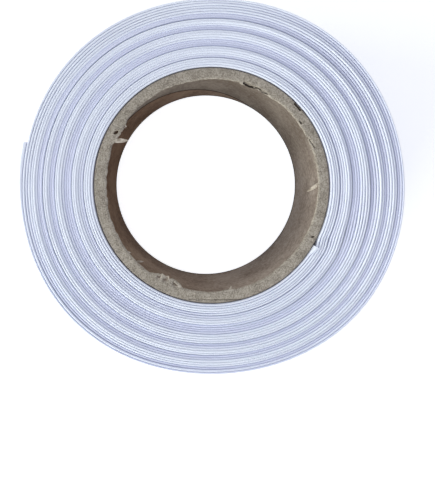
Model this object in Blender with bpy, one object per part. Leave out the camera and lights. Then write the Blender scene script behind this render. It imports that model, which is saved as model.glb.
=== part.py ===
"""A roll of folded bias tape on its paperboard core, lying flat on one side.

Metres, +Z up. Z is the core's axis, and the surface that the roll lies on is z = 0. Seen
from above, the tape winds outwards clockwise and stops, cut square, at OUTER_END_DEG. Angles
run anticlockwise from +X. A place across the roll is told in turns: 0 is the first turn's
start against the core.
"""

import math

import bmesh
import bpy

# Paperboard tube.
CORE_BORE_RADIUS = 0.0381
CORE_WALL = 0.0039
CORE_LENGTH = 0.0302
CORE_EDGE_ROUND = 0.0004
CORE_SIDES = 96

# Folded tape: its width, the thickness of its two layers, and how far apart its turns lie.
# Its two flaps face outwards, one wider than the other, with a gap between their raw edges.
TAPE_WIDTH = 0.0300
UPPER_FLAP = 0.0125
LOWER_FLAP = 0.0149
TAPE_THICKNESS = 0.0008
TURN_PITCH = 0.000865
TURNS = 29.452
OUTER_END_DEG = 167.0
FOLD_ROUND = 0.00035
CLEARANCE = 0.0003

# The roll is a little out of round: fully at its rim, and less and less towards its core.
OUT_OF_ROUND = (
    # waves round the roll, height, degrees at a crest
    (1, 0.00061, -35.5),
    (2, 0.00068, 4.4),
    (3, 0.00017, -24.3),
    (4, 0.00051, 46.5),
)

# The tape wandered sideways as it was wound, so its turns stand in bands. Each band climbs
# outwards, crests and drops to the next. The width stays the same, so both faces show them.
BANDS = (
    # turn, rise above the lowest turn
    (0.0, 0.00060),
    (4.6, 0.00065),
    (4.8, 0.00040),
    (7.0, 0.00100),
    (9.6, 0.00070),
    (9.8, 0.00000),
    (11.8, 0.00000),
    (14.0, 0.00110),
    (16.6, 0.00070),
    (16.9, 0.00010),
    (19.8, 0.00105),
    (21.7, 0.00070),
    (22.0, 0.00010),
    (26.6, 0.00070),
    (26.9, 0.00040),
)
ROLL_STEPS = 112
# Where the section marks the outside of the rim, past the marks of all the turns.
RIM_MARK = TURNS + 2.0

# The outer end lies loose on the roll up to its root, and its tip stands off a little more.
ROOT_DEG = 199.0
STEP_DEG = 0.35
TIP_LIFT = 0.0003
END_STEPS = 14


def clear_scene():
    for old in list(bpy.data.objects):
        bpy.data.objects.remove(old)


def make_material(name, colour, roughness):
    material = bpy.data.materials.new(name)
    material.use_nodes = True
    surface = material.node_tree.nodes["Principled BSDF"]
    surface.inputs["Base Color"].default_value = (*colour, 1.0)
    surface.inputs["Roughness"].default_value = roughness
    surface.inputs["Metallic"].default_value = 0.0
    return material


def make_object(name, bm, material):
    """One closed body, its faces outwards, smooth but for its real edges."""
    bmesh.ops.recalc_face_normals(bm, faces=bm.faces)
    if bm.calc_volume(signed=True) < 0.0:
        bmesh.ops.reverse_faces(bm, faces=bm.faces)
    mesh = bpy.data.meshes.new(name)
    bm.to_mesh(mesh)
    bm.free()
    mesh.materials.append(material)
    mesh.shade_smooth()
    mesh.set_sharp_from_angle(angle=math.radians(35))
    thing = bpy.data.objects.new(name, mesh)
    bpy.context.collection.objects.link(thing)
    return thing


def section_of(bm, points):
    """A closed outline in the XZ plane, from (distance from the axis, height) points."""
    corners = [bm.verts.new((across, 0.0, height)) for across, height in points]
    edges = [bm.edges.new(pair) for pair in zip(corners, corners[1:] + corners[:1])]
    return corners, edges


def spin_about_z(bm, geometry, angle, steps, closed):
    bmesh.ops.spin(
        bm,
        geom=geometry,
        axis=(0.0, 0.0, 1.0),
        cent=(0.0, 0.0, 0.0),
        angle=angle,
        steps=steps,
        use_merge=closed,
    )


def swell(angle):
    """How far the rim stands out of round at an angle."""
    return sum(
        height * math.cos(waves * (angle - math.radians(crest)))
        for waves, height, crest in OUT_OF_ROUND
    )


def turn_radius(turn, angle):
    """The side of a turn that faces the core."""
    winding_bore = CORE_BORE_RADIUS + CORE_WALL + CLEARANCE
    return winding_bore + turn * TURN_PITCH + swell(angle) * turn / TURNS


def rim_radius(angle):
    """The outside of the turn on top, from the outer end on: each time round is one less."""
    turn = TURNS - (angle - math.radians(OUTER_END_DEG)) / math.tau
    return turn_radius(turn, angle) + TAPE_THICKNESS


def put_at(vertex, radius, angle):
    vertex.co.x = radius * math.cos(angle)
    vertex.co.y = radius * math.sin(angle)


def turned_to(vertex):
    return math.atan2(vertex.co.y, vertex.co.x) % math.tau


def make_core(material):
    """A square-cut tube, its edges a little worn."""
    bm = bmesh.new()
    outside = CORE_BORE_RADIUS + CORE_WALL
    wall = (
        (CORE_BORE_RADIUS, 0.0),
        (outside, 0.0),
        (outside, CORE_LENGTH),
        (CORE_BORE_RADIUS, CORE_LENGTH),
    )
    corners, edges = section_of(bm, wall)
    spin_about_z(bm, corners + edges, math.tau, CORE_SIDES, closed=True)
    rims = [edge for edge in bm.edges if abs(edge.calc_face_angle()) > math.radians(45)]
    bmesh.ops.bevel(
        bm,
        geom=rims,
        offset=CORE_EDGE_ROUND,
        affect="EDGES",
        segments=1,
        profile=0.5,
        material=-1,
    )
    return make_object("core", bm, material)


def flap_side(outside, low):
    """The tape's outer side from its lower edge up: fold, flap, gap, flap, fold."""
    high = low + TAPE_WIDTH
    base = outside - TAPE_THICKNESS / 2
    return (
        (outside - FOLD_ROUND, low),
        (outside, low + FOLD_ROUND),
        (outside, low + LOWER_FLAP),
        (base, low + LOWER_FLAP),
        (base, high - UPPER_FLAP),
        (outside, high - UPPER_FLAP),
        (outside, high - FOLD_ROUND),
        (outside - FOLD_ROUND, high),
    )


def make_winding(material):
    """The turns as one body: the banded section goes round once, and the rim loses a turn.

    The section is spun with marks for distances: a turn's mark is its number and one more,
    and the rim's points lie about RIM_MARK. Then every point is put where it belongs.
    """
    low = [(1.0 + turn, rise) for turn, rise in BANDS]
    high = [(mark, rise + TAPE_WIDTH) for mark, rise in low]
    rim = flap_side(RIM_MARK, BANDS[-1][1])
    bm = bmesh.new()
    corners, edges = section_of(bm, (*low, *rim, *reversed(high)))
    spin_about_z(bm, corners + edges, math.tau, ROLL_STEPS, closed=True)
    # The last gap between two rings is the narrow one where the rim steps in.
    spread = (math.tau - math.radians(STEP_DEG)) / (math.tau - math.tau / ROLL_STEPS)
    for vertex in bm.verts:
        mark = math.hypot(vertex.co.x, vertex.co.y)
        angle = math.radians(ROOT_DEG) + turned_to(vertex) * spread
        if mark > 1.0 + TURNS:
            put_at(vertex, rim_radius(angle) + mark - RIM_MARK, angle)
        else:
            put_at(vertex, turn_radius(mark - 1.0, angle), angle)
    return make_object("tape_winding", bm, material)


def make_outer_end(material):
    """The last of the tape: a thin curved sheet that lies loose against the rim."""
    low = BANDS[-1][1]
    inner_side = ((1.0, low + TAPE_WIDTH - FOLD_ROUND), (1.0, low + FOLD_ROUND))
    bm = bmesh.new()
    corners, edges = section_of(bm, (*flap_side(1.0 + TAPE_THICKNESS, low), *inner_side))
    tip = bm.faces.new(corners)
    root_gap = math.radians(STEP_DEG) + CLEARANCE / rim_radius(math.radians(ROOT_DEG))
    length = math.radians(ROOT_DEG - OUTER_END_DEG) - root_gap
    spin_about_z(bm, [*corners, *edges, tip], length, END_STEPS, closed=False)
    for vertex in bm.verts:
        along = turned_to(vertex) / length
        layer = math.hypot(vertex.co.x, vertex.co.y) - 1.0
        angle = math.radians(OUTER_END_DEG) + along * length
        under = rim_radius(angle + math.tau) + CLEARANCE
        put_at(vertex, under + layer + TIP_LIFT * (1.0 - along) ** 2, angle)
    return make_object("tape_outer_end", bm, material)


clear_scene()
paperboard = make_material("paperboard", (0.33, 0.29, 0.23), 0.9)
satin = make_material("white_satin", (0.82, 0.84, 0.92), 0.5)
make_core(paperboard)
make_winding(satin)
make_outer_end(satin)
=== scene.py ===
"""A roll of folded white satin bias tape on its torn paperboard core, lying on its side.

Metres, +Z up, in the frame of the solids. Angles run anticlockwise from +X, seen from above.
A place along the tape is told in turns from the core.
"""

import math

import bmesh
import bpy
import numpy as np
from mathutils import Matrix, Vector, noise


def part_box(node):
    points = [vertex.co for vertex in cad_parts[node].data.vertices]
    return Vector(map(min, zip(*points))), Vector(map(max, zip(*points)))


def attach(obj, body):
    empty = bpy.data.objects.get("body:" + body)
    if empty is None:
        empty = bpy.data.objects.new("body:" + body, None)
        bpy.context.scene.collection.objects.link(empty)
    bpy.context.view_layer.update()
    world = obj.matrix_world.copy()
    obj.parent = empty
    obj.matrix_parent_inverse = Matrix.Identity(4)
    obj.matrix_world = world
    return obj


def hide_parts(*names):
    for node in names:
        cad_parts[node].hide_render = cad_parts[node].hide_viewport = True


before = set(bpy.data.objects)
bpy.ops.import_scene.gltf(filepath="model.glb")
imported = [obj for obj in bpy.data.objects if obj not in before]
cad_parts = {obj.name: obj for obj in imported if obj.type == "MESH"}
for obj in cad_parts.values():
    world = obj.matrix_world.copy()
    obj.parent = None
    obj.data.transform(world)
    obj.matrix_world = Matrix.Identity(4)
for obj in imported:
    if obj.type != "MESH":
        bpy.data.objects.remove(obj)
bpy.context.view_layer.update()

# Paperboard core, inside the solid core's box.
core_high = Vector(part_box("core")[1])
CORE_OUTSIDE = core_high.x
CORE_TOP = core_high.z
CORE_WALL = 0.0039
CORE_BORE = CORE_OUTSIDE - CORE_WALL

# The tape: a strip folded to TAPE_WIDTH, its two flaps outwards with a gap between them.
TAPE_WIDTH = 0.0300
UPPER_FLAP = 0.0125
LOWER_FLAP = 0.0149
CLOTH = 0.00035
FOLDED = 0.00077
FOLD_RISE = 0.00050
TURN_PITCH = 0.000865
TURNS = 29.452
INNER_END_DEG = 329.6
FIRST_TURN_GAP = 0.00032
RINGS_PER_TURN = 150

# Out of round: fully at the rim, and less and less towards the core.
OUT_OF_ROUND = (
    # waves round the roll, height, degrees at a crest
    (1, 0.00061, -35.5),
    (2, 0.00068, 4.4),
    (3, 0.00017, -24.3),
    (4, 0.00051, 46.5),
)

# How far each stretch of the tape stands above the lowest turn.
BANDS = (
    # turn, rise
    (0.0, 0.00045),
    (1.5, 0.00070),
    (4.14, 0.00055),
    (4.20, 0.00030),
    (5.2, 0.00028),
    (6.2, 0.00055),
    (7.3, 0.00078),
    (9.10, 0.00050),
    (9.17, 0.00010),
    (9.7, 0.00000),
    (10.8, 0.00002),
    (12.0, 0.00024),
    (13.4, 0.00062),
    (14.4, 0.00082),
    (16.19, 0.00052),
    (16.25, 0.00016),
    (17.2, 0.00004),
    (18.2, 0.00030),
    (19.2, 0.00066),
    (19.9, 0.00078),
    (21.25, 0.00050),
    (21.31, 0.00028),
    (22.2, 0.00008),
    (23.2, 0.00034),
    (24.2, 0.00066),
    (24.8, 0.00074),
    (26.24, 0.00050),
    (26.30, 0.00024),
    (27.2, 0.00016),
    (28.2, 0.00044),
    (29.452, 0.00030),
)

# Where a stretch ends, the turns on its two sides lie a little apart.
GAPS = (
    # turn, width, degrees at its widest, half width in degrees
    (4.17, 0.00028, 200.0, 400.0),
    (9.14, 0.00036, 60.0, 400.0),
    (16.22, 0.00040, 100.0, 400.0),
    (21.28, 0.00052, 150.0, 170.0),
    (26.27, 0.00024, 310.0, 150.0),
)

# Slits and thin cracks in the core's sawn end.
CRACKS = (
    # from degrees, from radius, to degrees, to radius, half width, depth
    (72.4, 0.03862, 67.5, 0.03848, 0.00034, 0.0018),
    (67.5, 0.03848, 62.5, 0.03838, 0.00030, 0.0015),
    (62.5, 0.03838, 58.5, 0.03862, 0.00022, 0.0009),
    (44.3, 0.04156, 40.4, 0.04150, 0.00036, 0.0020),
    (36.0, 0.03880, 34.5, 0.03900, 0.00024, 0.0010),
    (26.5, 0.03830, 23.0, 0.03870, 0.00018, 0.0007),
    (23.0, 0.03870, 20.0, 0.03915, 0.00018, 0.0006),
    (152.0, 0.03935, 150.0, 0.03910, 0.00026, 0.0014),
    (333.3, 0.04080, 332.7, 0.04020, 0.00024, 0.0014),
    (240.8, 0.03873, 239.2, 0.03880, 0.00024, 0.0008),
    (244.8, 0.03870, 243.0, 0.03880, 0.00024, 0.0008),
    (250.8, 0.03885, 248.8, 0.03880, 0.00024, 0.0008),
    (259.0, 0.04130, 272.0, 0.04080, 0.00026, 0.0003),
    (272.0, 0.04080, 284.0, 0.04190, 0.00028, 0.0005),
)

# Where the top ply is torn and leans into the bore.
TORN_PLIES = (
    # degrees, half width in degrees, reach into the bore, depth of the ply
    (244.8, 10.0, 0.0026, 0.0008),
    (70.0, 5.0, 0.0007, 0.0012),
    (57.0, 6.0, 0.0006, 0.0010),
    (101.0, 14.0, 0.0005, 0.0005),
    (205.0, 9.0, 0.0004, 0.0006),
    (150.0, 8.0, 0.0011, 0.0007),
    (178.0, 20.0, 0.0008, 0.0008),
    (279.0, 4.0, 0.0009, 0.0006),
    (312.0, 8.0, 0.0005, 0.0006),
)

# The larger scraps of torn paper on the core's inner edge.
SCRAPS = (
    # degrees, beyond the bore, below the end, reach, width, heading, droop
    (155.4, -0.0001, 0.0002, 0.0047, 0.0016, -27.0, 0.0004),
    (144.8, 0.0002, 0.0006, 0.0015, 0.0006, 20.0, 0.0004),
    (147.1, 0.0002, 0.0006, 0.0015, 0.0006, -25.0, 0.0004),
    (1.0, 0.0001, 0.0012, 0.0036, 0.0014, -55.0, 0.0055),
    (218.0, 0.0002, 0.0004, 0.0016, 0.0005, 60.0, 0.0003),
    (225.5, 0.0001, 0.0012, 0.0024, 0.0007, 55.0, 0.0018),
    (280.0, 0.0003, 0.0003, 0.0019, 0.0009, 20.0, 0.0003),
)


# ---- helpers -------------------------------------------------------------------------


def linked(name, mesh):
    piece = bpy.data.objects.new(name, mesh)
    bpy.context.scene.collection.objects.link(piece)
    return piece


def finished_piece(name, bm, material, sharp_deg, replaced):
    """Puts a closed mesh into the scene as a piece of the roll."""
    bmesh.ops.recalc_face_normals(bm, faces=bm.faces)
    if bm.calc_volume(signed=True) < 0.0:
        bmesh.ops.reverse_faces(bm, faces=bm.faces)
    mesh = bpy.data.meshes.new(name)
    bm.to_mesh(mesh)
    bm.free()
    mesh.materials.append(material)
    mesh.shade_smooth()
    mesh.set_sharp_from_angle(angle=math.radians(sharp_deg))
    piece = linked(name, mesh)
    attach(piece, "root")
    if replaced:
        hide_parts(*replaced)
    return piece


def eased(share):
    share = np.clip(share, 0.0, 1.0)
    return share * share * (3.0 - 2.0 * share)


def drift(along, wavelength, seed):
    """A slow wave between -1 and 1 that never repeats, from a few sines."""
    rng = np.random.default_rng(seed)
    total = np.zeros_like(along)
    for octave, weight in ((1.0, 0.6), (1.9, 0.3), (3.7, 0.15)):
        phase = rng.uniform(0.0, math.tau)
        total += weight * np.sin(math.tau * along * octave / wavelength + phase)
    return total


# ---- materials -----------------------------------------------------------------------


class Shader:
    """A material's nodes, added and joined in one line each."""

    def __init__(self, name):
        self.material = bpy.data.materials.new(name)
        self.material.use_nodes = True
        self.tree = self.material.node_tree
        self.surface = self.tree.nodes["Principled BSDF"]

    def add(self, kind, settings=(), **inputs):
        node = self.tree.nodes.new("ShaderNode" + kind)
        for attribute, value in dict(settings).items():
            setattr(node, attribute, value)
        for name, value in inputs.items():
            self.feed(node.inputs[self.socket_key(name)], value)
        return node

    @staticmethod
    def socket_key(name):
        return int(name[1:]) if name[1:].isdigit() else name.replace("_", " ")

    def feed(self, socket, value):
        if isinstance(value, bpy.types.NodeSocket):
            self.tree.links.new(value, socket)
        elif isinstance(value, bpy.types.Node):
            self.tree.links.new(value.outputs[0], socket)
        else:
            socket.default_value = value

    def math(self, operation, first, second=0.0, third=0.0):
        node = self.add("Math", {"operation": operation}, i0=first, i1=second, i2=third)
        return node.outputs[0]

    def blend(self, share, first, second):
        """A colour between two."""
        node = self.add("Mix", {"data_type": "RGBA"}, i0=share, i6=first, i7=second)
        return node.outputs[2]

    def ramp(self, share, low, high):
        """0 at low, 1 at high."""
        node = self.add("MapRange", {"interpolation_type": "SMOOTHSTEP"}, Value=share)
        node.inputs["From Min"].default_value = low
        node.inputs["From Max"].default_value = high
        return node.outputs[0]

    def off_axis(self, place):
        """How far a place lies from the roll's axis."""
        apart = self.add("SeparateXYZ", i0=place)
        x, y = apart.outputs["X"], apart.outputs["Y"]
        squares = self.math("MULTIPLY_ADD", x, x, self.math("MULTIPLY", y, y))
        return self.math("SQRT", squares)

    def tinted(self, colour, tint):
        """A colour times another."""
        node = self.add("Mix", {"data_type": "RGBA", "blend_type": "MULTIPLY"}, i0=1.0, i6=colour, i7=tint)
        return node.outputs[2]

    def bump(self, height, distance, strength=1.0, normal=None):
        node = self.add("Bump", Height=height, Distance=distance, Strength=strength)
        if normal is not None:
            self.feed(node.inputs["Normal"], normal)
        return node.outputs[0]


def satin_material():
    """White polyester satin cut on the bias: yarns at 45 degrees to the tape's length."""
    s = Shader("white_satin")
    place = s.add("UVMap", {"uv_map": "cloth"})
    turned = s.add("Mapping", Vector=place, Rotation=(0.0, 0.0, math.radians(45.0)))
    floats = s.add(
        "TexWave",
        {"wave_type": "BANDS", "bands_direction": "X", "wave_profile": "SIN"},
        Vector=turned.outputs[0],
        Scale=620.0,
        Distortion=1.5,
        Detail=2.0,
        Detail_Scale=1.2,
    )
    cross = s.add(
        "TexWave",
        {"wave_type": "BANDS", "bands_direction": "Y", "wave_profile": "SIN"},
        Vector=turned.outputs[0],
        Scale=310.0,
        Distortion=2.5,
        Detail=2.0,
        Detail_Scale=1.0,
    )
    weave = s.math("MULTIPLY_ADD", cross.outputs["Fac"], 0.5, floats.outputs["Fac"])
    cloudy = s.add("TexNoise", Vector=place, Scale=45.0, Detail=3.0, Roughness=0.55)
    tone = s.math("MULTIPLY_ADD", weave, 0.25, cloudy.outputs["Fac"])
    white = s.blend(s.ramp(tone, 0.3, 1.1), (0.75, 0.785, 0.865, 1.0), (0.86, 0.895, 0.95, 1.0))
    # Painted shade: the folds of the turns that lie low in the upper face, and the folds' sides down in
    # the gaps between turns, are painted a darker lavender for the shade in these recesses.
    height = s.add("SeparateXYZ", i0=s.add("TexCoord").outputs["Object"]).outputs["Z"]
    low = s.math("SUBTRACT", 1.0, s.ramp(height, TAPE_WIDTH + 0.00008, TAPE_WIDTH + 0.00045))
    low = s.math("MULTIPLY", low, s.ramp(height, TAPE_WIDTH - 0.0005, TAPE_WIDTH - 0.0001))
    white = s.blend(s.math("MULTIPLY", low, 0.55), white, (0.655, 0.675, 0.86, 1.0))
    # Painted shade: the flat faces are painted a greyer white than the folds that catch the light,
    # standing in for less light on them.
    face = s.math("SUBTRACT", 1.0, s.ramp(height, TAPE_WIDTH - 0.0030, TAPE_WIDTH - 0.0008))
    shade = s.blend(face, (1.0, 1.0, 1.0, 1.0), (0.64, 0.64, 0.68, 1.0))
    s.feed(s.surface.inputs["Base Color"], s.tinted(white, shade))
    s.feed(s.surface.inputs["Roughness"], s.math("MULTIPLY_ADD", weave, -0.08, 0.52))
    s.surface.inputs["Sheen Weight"].default_value = 0.15
    s.surface.inputs["Sheen Roughness"].default_value = 0.4
    s.surface.inputs["Sheen Tint"].default_value = (0.93, 0.95, 1.0, 1.0)
    s.surface.inputs["Specular IOR Level"].default_value = 0.5
    s.surface.inputs["Subsurface Weight"].default_value = 0.0
    s.feed(s.surface.inputs["Normal"], s.bump(weave, 0.00006, 0.6))
    return s.material


def paperboard_material():
    """Grey-brown spiral-wound board: a speckled sawn end and, in the bore, one slanting seam."""
    SEAM_SLOPE = 0.000338 * 180.0 / math.pi
    SEAM_TOP, SEAM_ANGLE = 0.0265, math.radians(136.0)
    SEAM_HALF_WIDTH = 0.0004
    s = Shader("grey_paperboard")
    place = s.add("TexCoord").outputs["Object"]
    apart = s.add("SeparateXYZ", i0=place)
    height = apart.outputs["Z"]
    angle = s.math("ARCTAN2", apart.outputs["Y"], apart.outputs["X"])
    angle = s.math("MULTIPLY_ADD", s.math("LESS_THAN", angle, 0.0), math.tau, angle)

    speckle = s.add("TexNoise", Vector=place, Scale=2300.0, Detail=3.0, Roughness=0.75)
    patches = s.add("TexNoise", Vector=place, Scale=260.0, Detail=4.0, Roughness=0.6)
    tone = s.math("MULTIPLY_ADD", patches.outputs["Fac"], 0.30, speckle.outputs["Fac"])
    end = s.blend(s.ramp(tone, 0.40, 0.88), (0.15, 0.125, 0.095, 1.0), (0.52, 0.465, 0.375, 1.0))
    torn_edge = s.ramp(s.off_axis(place), CORE_BORE - 0.0001, CORE_BORE + 0.0004)
    torn_edge = s.math("SUBTRACT", 1.0, torn_edge)
    come_and_go = s.add("TexNoise", Vector=place, Scale=300.0, Detail=4.0, Roughness=0.75)
    torn_edge = s.math("MULTIPLY", torn_edge, s.ramp(come_and_go.outputs["Fac"], 0.46, 0.66))
    end = s.blend(s.math("MULTIPLY", torn_edge, 0.5), end, (0.66, 0.59, 0.48, 1.0))

    on_end = s.ramp(height, CORE_TOP - 0.0012, CORE_TOP - 0.0003)
    seam_height = s.math("MULTIPLY_ADD", s.math("SUBTRACT", angle, SEAM_ANGLE), SEAM_SLOPE, SEAM_TOP)
    above = s.math("SUBTRACT", height, seam_height)
    ply = s.ramp(above, -SEAM_HALF_WIDTH, SEAM_HALF_WIDTH)
    off_seam = s.ramp(s.math("ABSOLUTE", above), SEAM_HALF_WIDTH, 2.0 * SEAM_HALF_WIDTH)
    near_seam = s.math("SUBTRACT", 1.0, off_seam)
    # Painted shade: below the seam the bore's wall is painted a dark brown towards the left, where it
    # faces away from the lamps, and a lighter grey towards the right, where they light it.
    painted_side_shade = s.math("MULTIPLY_ADD", s.math("COSINE", s.math("ADD", angle, 0.35)), 0.5, 0.5)

    fibres = s.add("TexNoise", Vector=place, Scale=850.0, Detail=5.0, Roughness=0.7)
    blotches = s.add("TexNoise", Vector=place, Scale=75.0, Detail=2.0, Roughness=0.5)
    wall_tone = s.math("MULTIPLY_ADD", blotches.outputs["Fac"], 0.8, fibres.outputs["Fac"])
    wall_tone = s.ramp(wall_tone, 0.6, 1.2)
    brown = s.blend(wall_tone, (0.145, 0.080, 0.043, 1.0), (0.295, 0.190, 0.114, 1.0))
    grey = s.blend(wall_tone, (0.205, 0.158, 0.124, 1.0), (0.425, 0.362, 0.302, 1.0))
    # Painted shade: the upper ply is painted darker everywhere but over the first 34 degrees round from
    # +X, to hold down the lamps' light on it.
    painted_upper_ply_shade = s.blend(s.ramp(angle, 0.0, 0.6), (1.0, 1.0, 1.0, 1.0), (0.64, 0.63, 0.61, 1.0))
    wall = s.blend(ply, s.blend(painted_side_shade, brown, grey), s.tinted(grey, painted_upper_ply_shade))
    # Painted shade: a near-black line is painted along the seam, for the shade in its narrow gap.
    wall = s.blend(s.math("MULTIPLY", near_seam, 0.9), wall, (0.030, 0.018, 0.012, 1.0))
    # Painted shadow: the lowest two millimetres of the bore's wall are painted near black, a contact
    # shadow where the tube meets the floor.
    painted_contact_shadow = s.math("SUBTRACT", 1.0, s.ramp(height, 0.0008, 0.0020))
    wall = s.blend(s.math("MULTIPLY", painted_contact_shadow, 0.93), wall, (0.012, 0.008, 0.006, 1.0))

    s.feed(s.surface.inputs["Base Color"], s.blend(on_end, wall, end))
    s.surface.inputs["Roughness"].default_value = 0.95
    s.surface.inputs["Specular IOR Level"].default_value = 0.15
    fine = s.bump(tone, 0.00012, 0.8)
    s.feed(s.surface.inputs["Normal"], s.bump(near_seam, -0.0002, 0.8, fine))
    return s.material


def torn_fibre_material():
    s = Shader("torn_paper_fibres")
    place = s.add("TexCoord").outputs["Object"]
    mottled = s.add("TexNoise", Vector=place, Scale=700.0, Detail=3.0, Roughness=0.6)
    pale = s.blend(s.ramp(mottled, 0.35, 0.65), (0.30, 0.255, 0.195, 1.0), (0.62, 0.555, 0.455, 1.0))
    s.feed(s.surface.inputs["Base Color"], pale)
    s.surface.inputs["Roughness"].default_value = 0.95
    s.surface.inputs["Specular IOR Level"].default_value = 0.15
    return s.material


def floor_material():
    s = Shader("pale_floor")
    place = s.add("TexCoord").outputs["Object"]
    cloudy = s.add("TexNoise", Vector=place, Scale=6.0, Detail=2.0)
    paper = s.blend(cloudy.outputs["Fac"], (0.93, 0.93, 0.92, 1.0), (0.95, 0.95, 0.93, 1.0))
    s.feed(s.surface.inputs["Base Color"], paper)
    s.surface.inputs["Roughness"].default_value = 0.9
    s.surface.inputs["Specular IOR Level"].default_value = 0.1
    # Painted light: the floor glows to the camera only, strongest inside the core where the roll's shadow
    # falls, and lights nothing else.
    GLOW, MORE_IN_MIDDLE = 0.36, 0.42
    middle = s.math("SUBTRACT", 1.0, s.ramp(s.off_axis(place), CORE_OUTSIDE, 0.065))
    glow = s.math("MULTIPLY_ADD", middle, MORE_IN_MIDDLE, GLOW)
    seen = s.add("LightPath").outputs["Is Camera Ray"]
    s.surface.inputs["Emission Color"].default_value = (1.0, 1.0, 1.0, 1.0)
    s.feed(s.surface.inputs["Emission Strength"], s.math("MULTIPLY", seen, glow))
    return s.material


# ---- tape ----------------------------------------------------------------------------


def swell(angle):
    return sum(
        height * np.cos(waves * (angle - math.radians(crest)))
        for waves, height, crest in OUT_OF_ROUND
    )


def tape_angle(turn):
    """Where a place along the tape lies round the roll: outwards is clockwise."""
    return math.radians(INNER_END_DEG) - math.tau * turn


def layers_under(turn):
    """How many folded layers lie under the tape.

    By the core each turn hugs the one below and climbs over the inner end in a short
    stretch. The climb grows longer with every turn, and further out it is even.
    """
    FIRST_CLIMB, GROWTH = 0.011, 1.17
    whole = np.floor(turn)
    climb = np.minimum(FIRST_CLIMB * GROWTH**whole, 1.0)
    return whole + eased_or_even((turn - whole - 1.0 + climb) / climb, climb)


def eased_or_even(share, climb):
    share = np.clip(share, 0.0, 1.0)
    return eased(share) * (1.0 - climb) + share * climb


def near_angle(angle, middle, half_width):
    """1 about one angle in degrees, easing to 0 at half_width from it."""
    off = np.abs((np.degrees(angle) - middle + 180.0) % 360.0 - 180.0)
    return eased(1.6 * (1.0 - off / half_width))


def slack(turn, angle):
    """How far the gaps push the turns about them apart, less and less over three turns."""
    REACH, START = 3.0, 0.05
    shift = np.zeros_like(turn)
    for at, width, widest, half_width in GAPS:
        window = near_angle(angle, widest, half_width)
        past = turn - at
        fading = np.clip(1.0 - np.abs(past) / REACH, 0.0, 1.0)
        shift += 0.5 * width * window * fading * np.clip(past / START, -1.0, 1.0)
    return shift


def tape_radius(turn):
    """The tape's side that faces the core."""
    LOOSE, LOOSE_TURNS = 0.00012, 0.10
    angle = tape_angle(turn)
    radius = CORE_OUTSIDE + FIRST_TURN_GAP + layers_under(turn) * TURN_PITCH
    loose = LOOSE * eased((turn - TURNS + LOOSE_TURNS) / LOOSE_TURNS)
    return radius + swell(angle) * turn / TURNS + slack(turn, angle) + loose


def tape_rise(turn, along):
    """How high the tape lies: its bands, and an uneven wander that is least on the left.

    At the back on the left the outermost band lies level with the one inside it.
    """
    CALM_ANGLE = math.radians(160.0)
    LEVEL, LEVEL_FROM, LEVEL_OVER = 0.00050, 23.8, 1.2
    LEVEL_MIDDLE, LEVEL_HALF_WIDTH = 125.0, 95.0
    rows = np.array(BANDS)
    rise = np.interp(turn, rows[:, 0], rows[:, 1])
    level = near_angle(tape_angle(turn), LEVEL_MIDDLE, LEVEL_HALF_WIDTH)
    level = level * eased((turn - LEVEL_FROM) / LEVEL_OVER)
    rise = rise + level * (LEVEL - rise)
    unevenness = 0.62 - 0.38 * np.cos(tape_angle(turn) - CALM_ANGLE)
    wander = 0.00011 * drift(along, 0.83, 1) + 0.00003 * drift(along, 0.047, 2)
    return np.maximum(rise + unevenness * wander, 0.0)


def folded_section():
    """The folded strip's outline, as (layer from the core side, height) points.

    It starts at the upper flap's raw edge, runs over the top fold, down the base, round the
    bottom fold and up the lower flap, and returns along the inside of the strip.
    """
    ROUNDNESS = 0.8
    top, bottom = TAPE_WIDTH - FOLD_RISE, FOLD_RISE
    upper, lower = TAPE_WIDTH - UPPER_FLAP, LOWER_FLAP
    inner_flap, inner_base = FOLDED - CLOTH, CLOTH
    half = FOLDED / 2
    over = [
        (half + half * math.cos(turned), top + FOLD_RISE * math.sin(turned) ** ROUNDNESS)
        for turned in (math.pi * k / 6 for k in range(1, 6))
    ]
    under = [
        (half - half * math.cos(turned), bottom - FOLD_RISE * math.sin(turned) ** ROUNDNESS)
        for turned in (math.pi * k / 4 for k in range(1, 4))
    ]
    outside = [(FOLDED, upper), (FOLDED, top), *over, (0.0, top)]
    outside += [(0.0, bottom), *under, (FOLDED, bottom), (FOLDED, lower)]
    inside = [(inner_flap, lower), (inner_flap, bottom), (inner_base, bottom)]
    inside += [(inner_base, top), (inner_flap, top), (inner_flap, upper)]
    return np.array(outside + inside)


def flat_strip(columns, rings):
    """The strip as a flat grid, and the column and ring of each of its points."""
    bm = bmesh.new()
    bmesh.ops.create_grid(bm, x_segments=columns, y_segments=rings, size=0.5)
    mesh = bpy.data.meshes.new("flat_tape")
    bm.to_mesh(mesh)
    bm.free()
    flat = np.empty(len(mesh.vertices) * 3, np.float32)
    mesh.vertices.foreach_get("co", flat)
    flat = flat.reshape(-1, 3)
    column = np.rint((flat[:, 0] + 0.5) * columns).astype(int)
    ring = np.rint((flat[:, 1] + 0.5) * rings).astype(int)
    return mesh, column, ring


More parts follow.
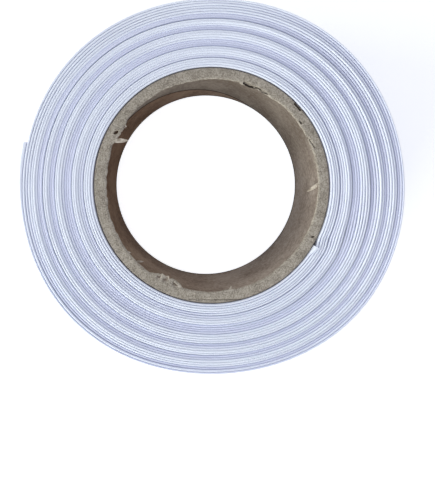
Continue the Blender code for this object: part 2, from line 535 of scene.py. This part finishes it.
def wound_points(layer, height, ring, turn, radius, along):
    """Where the folded strip's points lie on the roll."""
    PRESSED_MIDDLE, PRESSED_HALF_WIDTH, PRESSED_THICKER = 135.0, 100.0, 0.07
    UPPER_WAVER, LOWER_WAVER = 0.00022, 0.00026
    SPRUNG_TURNS, SPRUNG_THICKER = 0.07, 0.65
    FLARE_TURNS, FLARE_EASE, FLARE_DEPTH = 0.010, 0.006, 0.0014
    FLARE_OUT, FLARE_UP = 0.00110, 0.00085
    angle = tape_angle(turn)
    upper_edge = np.isclose(height, TAPE_WIDTH - UPPER_FLAP)
    lower_edge = np.isclose(height, LOWER_FLAP)
    # At the back on the left the folds are pressed flatter.
    crown = np.clip((height - TAPE_WIDTH + FOLD_RISE) / FOLD_RISE, 0.0, 1.0)
    pressed = near_angle(angle, PRESSED_MIDDLE, PRESSED_HALF_WIDTH)[ring]
    height = height + FOLD_RISE * pressed * (np.sqrt(crown) - crown)
    # The raw edges are cut by hand, so the gap between the flaps wavers.
    height = height + UPPER_WAVER * upper_edge * drift(along, 0.038, 3)[ring]
    height = height + LOWER_WAVER * lower_edge * drift(along, 0.051, 4)[ring]
    # Towards its cut end the folded strip springs open and stands thicker.
    spring = 1.0 + SPRUNG_THICKER * eased((turn - TURNS + SPRUNG_TURNS) / SPRUNG_TURNS)
    reach = radius[ring] + layer * (spring[ring] + PRESSED_THICKER * pressed)
    # The inner end's cut tip flares out over the turn that climbs it.
    flare = eased((FLARE_TURNS - turn) / FLARE_EASE)[ring]
    flare = flare * eased((height - TAPE_WIDTH + FLARE_DEPTH) / 0.0010)
    reach = reach + FLARE_OUT * flare * layer / FOLDED
    height = height + FLARE_UP * flare
    rise = tape_rise(turn, along)
    return np.column_stack(
        (reach * np.cos(angle[ring]), reach * np.sin(angle[ring]), height + rise[ring])
    )


def lay_cloth(mesh, section, column, ring, along):
    """The cloth's own map: metres along the tape and metres round its section."""
    round_section = np.vstack((section, section[:1]))
    around = np.concatenate(([0.0], np.cumsum(np.hypot(*np.diff(round_section, axis=0).T))))
    corner = np.empty(len(mesh.loops), np.int32)
    mesh.loops.foreach_get("vertex_index", corner)
    cloth = mesh.uv_layers.new(name="cloth")
    uv = np.column_stack((along[ring[corner]], around[column[corner]]))
    cloth.uv.foreach_set("vector", uv.astype(np.float32).ravel())


def make_tape():
    """One strip: a long grid, its columns folded to the section, its rows wound on the core."""
    section = folded_section()
    columns = len(section)
    rings = round(TURNS * RINGS_PER_TURN)
    mesh, column, ring = flat_strip(columns, rings)

    turn = np.linspace(0.0, TURNS, rings + 1)
    radius = tape_radius(turn)
    step = np.hypot(np.diff(radius), radius[1:] * np.abs(np.diff(tape_angle(turn))))
    along = np.concatenate(([0.0], np.cumsum(step)))
    layer, height = section[column % columns].T
    points = wound_points(layer, height, ring, turn, radius, along)
    mesh.vertices.foreach_set("co", points.astype(np.float32).ravel())
    lay_cloth(mesh, section, column, ring, along)

    bm = bmesh.new()
    bm.from_mesh(mesh)
    bpy.data.meshes.remove(mesh)
    bmesh.ops.remove_doubles(bm, verts=bm.verts, dist=1e-6)
    open_edges = [edge for edge in bm.edges if edge.is_boundary]
    bmesh.ops.holes_fill(bm, edges=open_edges, sides=columns)
    length = float(along[-1])
    flat_width = UPPER_FLAP + LOWER_FLAP + TAPE_WIDTH
    return bm, length, flat_width


# ---- core ----------------------------------------------------------------------------


def core_section():
    """The tube's wall as (radius, height) points, denser where its top edge is worn."""
    worn = 0.00045
    bore = [(CORE_BORE, CORE_TOP * k / 26) for k in range(1, 25)]
    bore += [(CORE_BORE, CORE_TOP - drop) for drop in (0.0017, 0.0012, 0.0008, worn)]
    rim = [(CORE_BORE + 0.00015, CORE_TOP - 0.00012)]
    rim += [(CORE_BORE + worn + (CORE_WALL - 2 * worn) * k / 11, CORE_TOP) for k in range(12)]
    outside = [
        (CORE_OUTSIDE - 0.00015, CORE_TOP - 0.00015),
        (CORE_OUTSIDE, CORE_TOP - worn),
        (CORE_OUTSIDE, worn),
        (CORE_OUTSIDE - worn, 0.0),
        (CORE_BORE + worn, 0.0),
        (CORE_BORE, worn),
    ]
    return bore + rim + outside


def make_core(material):
    CORE_STEPS = 760
    bm = bmesh.new()
    corners = [bm.verts.new((radius, 0.0, height)) for radius, height in core_section()]
    edges = [bm.edges.new(pair) for pair in zip(corners, corners[1:] + corners[:1])]
    bmesh.ops.spin(
        bm,
        geom=corners + edges,
        axis=(0.0, 0.0, 1.0),
        cent=(0.0, 0.0, 0.0),
        angle=math.tau,
        steps=CORE_STEPS,
        use_merge=True,
    )
    for vertex in bm.verts:
        vertex.co = worn_place(vertex.co)
    return finished_piece("core_tube", bm, material, 60.0, ["core"])


def worn_place(co):
    """Roughens the sawn end, frays its inner edge and opens its cracks."""
    SAWN_DEPTH, FRAYED_WIDTH, PLY_WIDTH, SKIN = 0.0012, 0.0011, 0.0014, 0.0004
    GRAIN_HEIGHT, RAG_DROP, RAG_REACH = 0.00006, 0.00025, 0.00050
    radius = math.hypot(co.x, co.y)
    degrees = math.degrees(math.atan2(co.y, co.x)) % 360.0
    below_top = CORE_TOP - co.z
    height, shift = co.z, 0.0
    at_top = max(0.0, 1.0 - below_top / SAWN_DEPTH)
    if at_top > 0.0:
        grain = noise.noise(co * 2300.0)
        ragged = noise.noise(Vector((co.x, co.y, 0.0)) * 520.0)
        at_bore = max(0.0, 1.0 - (radius - CORE_BORE) / FRAYED_WIDTH)
        height += GRAIN_HEIGHT * grain * at_top - RAG_DROP * at_top * at_bore * abs(ragged)
        shift -= RAG_REACH * ragged * at_top * at_bore
    for centre, half_width, reach, depth in TORN_PLIES:
        off = abs((degrees - centre + 180.0) % 360.0 - 180.0) / half_width
        if off < 1.0 and below_top < 2.0 * depth and radius < CORE_BORE + PLY_WIDTH:
            edge = (1.0 - off**3) * (0.9 + 0.3 * noise.noise(Vector((degrees * 0.6, 0.0, centre))))
            lean = max(0.0, 1.0 - below_top / (2.0 * depth)) ** 0.6
            near_bore = 1.0 - max(0.0, radius - CORE_BORE) / PLY_WIDTH
            shift -= reach * edge * lean * near_bore
            height -= 0.35 * depth * edge * near_bore * lean
    if below_top < SKIN:
        for crack in CRACKS:
            height -= crack_depth(co, *crack)
    swollen = 1.0 + shift / radius
    return Vector((co.x * swollen, co.y * swollen, height))


def crack_depth(co, from_deg, from_radius, to_deg, to_radius, half_width, depth):
    """How far a crack opens the sawn end at a place near it."""
    start = place_on_end(from_deg, from_radius)
    end = place_on_end(to_deg, to_radius)
    along = end - start
    share = max(0.0, min(1.0, (co.xy - start).dot(along) / along.length_squared))
    off = (co.xy - start - along * share).length / half_width
    return depth * max(0.0, 1.0 - off**3) if off < 1.0 else 0.0


def place_on_end(degrees, radius):
    angle = math.radians(degrees)
    return Vector((radius * math.cos(angle), radius * math.sin(angle)))


def add_scrap(bm, degrees, radius, height, reach, width, heading, droop):
    """A thin leaf of torn paper: rooted at a place on the core, pointed at its other end.

    heading turns it from straight into the bore (0) to along the wall (90); droop bends
    its tip down.
    """
    PAPER = 0.00007
    made = bmesh.ops.create_grid(bm, x_segments=5, y_segments=2, size=0.5)["verts"]
    angle = math.radians(degrees)
    inward = Vector((-math.cos(angle), -math.sin(angle), 0.0))
    sideways = Vector((-math.sin(angle), math.cos(angle), 0.0))
    turned = math.radians(heading)
    ahead = inward * math.cos(turned) + sideways * math.sin(turned)
    across = sideways * math.cos(turned) - inward * math.sin(turned)
    root = Vector((radius * math.cos(angle), radius * math.sin(angle), height))
    for vertex in made:
        share = vertex.co.x + 0.5
        taper = math.sin(math.pi * min(0.97, 0.2 + 0.8 * share)) ** 0.7
        wobble = 0.12 * width * noise.noise(root * 900.0 + vertex.co * 3.0)
        out = root + ahead * reach * share + across * (vertex.co.y * width * taper + wobble)
        out.z += -droop * share * share + 0.15 * width * abs(vertex.co.y)
        vertex.co = out
    faces = list({face for vertex in made for face in vertex.link_faces})
    bmesh.ops.solidify(bm, geom=faces, thickness=PAPER)


def make_scraps(material):
    """Torn fibres along the end's inner edge, and the few larger scraps of ply."""
    FIBRES = 110
    rng = np.random.default_rng(11)
    bm = bmesh.new()
    for _ in range(FIBRES):
        add_scrap(
            bm,
            degrees=rng.uniform(0.0, 360.0),
            radius=CORE_BORE + rng.uniform(0.0, 0.0007),
            height=CORE_TOP - rng.uniform(0.0001, 0.0007),
            reach=rng.uniform(0.0004, 0.0012),
            width=rng.uniform(0.00010, 0.00026),
            heading=rng.choice((-1.0, 1.0)) * rng.uniform(35.0, 90.0),
            droop=rng.uniform(-0.0001, 0.0004),
        )
    for degrees, off_edge, below_top, *shape in SCRAPS:
        add_scrap(bm, degrees, CORE_BORE + off_edge, CORE_TOP - below_top, *shape)
    return finished_piece("torn_fibres", bm, material, 50.0, [])


# ---- floor, light and camera ---------------------------------------------------------


def make_floor(material):
    HALF_SIDE, BELOW_ROLL = 1.5, 0.0001
    bm = bmesh.new()
    bmesh.ops.create_grid(bm, x_segments=2, y_segments=2, size=HALF_SIDE)
    mesh = bpy.data.meshes.new("floor")
    bm.to_mesh(mesh)
    bm.free()
    mesh.materials.append(material)
    floor = linked("floor", mesh)
    mesh.transform(Matrix.Translation((0.0, 0.0, -BELOW_ROLL)))


def add_area_light(name, degrees, power, distance):
    """A large soft light, low beside the roll."""
    ELEVATION, SIZE_PER_METRE = math.radians(18.0), 0.45
    light = bpy.data.lights.new(name, "AREA")
    light.size = SIZE_PER_METRE * distance
    light.energy = power
    light.color = (0.96, 1.0, 0.95)
    lamp = bpy.data.objects.new(name, light)
    angle = math.radians(degrees)
    away = Vector((math.cos(angle), math.sin(angle), 0.0)) * math.cos(ELEVATION)
    away.z = math.sin(ELEVATION)
    lamp.location = away * distance
    lamp.rotation_euler = away.to_track_quat("Z", "Y").to_euler()
    bpy.context.scene.collection.objects.link(lamp)


def light_scene():
    world = bpy.data.worlds.new("studio")
    world.use_nodes = True
    sky = world.node_tree.nodes["Background"]
    sky.inputs["Color"].default_value = (0.835, 0.862, 1.0, 1.0)
    sky.inputs["Strength"].default_value = 0.665
    bpy.context.scene.world = world
    add_area_light("near_window", 235.0, 1.7, 0.5)
    add_area_light("left_window", 180.0, 11.5, 1.8)
    add_area_light("far_window", 90.0, 7.5, 1.8)


def add_camera():
    """Straight down on the roll's face, a little to the left of the core."""
    HEIGHT = 0.1478
    LEFT, BACK = 0.0125, 0.0014
    VIEW, SENSOR = 0.1762, 36.0
    eye = bpy.data.cameras.new("camera")
    eye.sensor_width = SENSOR
    eye.lens = SENSOR * HEIGHT / VIEW
    eye.shift_x = 0.0828
    eye.shift_y = -0.1335
    eye.clip_start = 0.01
    camera = bpy.data.objects.new("camera", eye)
    camera.location = (-LEFT, BACK, CORE_TOP + HEIGHT)
    bpy.context.scene.collection.objects.link(camera)
    bpy.context.scene.camera = camera


add_camera()
light_scene()
make_floor(floor_material())
satin = satin_material()
paperboard = paperboard_material()
torn = torn_fibre_material()
tape_mesh, tape_length, tape_flat = make_tape()
tape = finished_piece(
    "bias_tape", tape_mesh, satin, 50.0, ["tape_winding", "tape_outer_end"]
)
make_core(paperboard)
make_scraps(torn)
bpy.context.scene.view_settings.view_transform = "Standard"
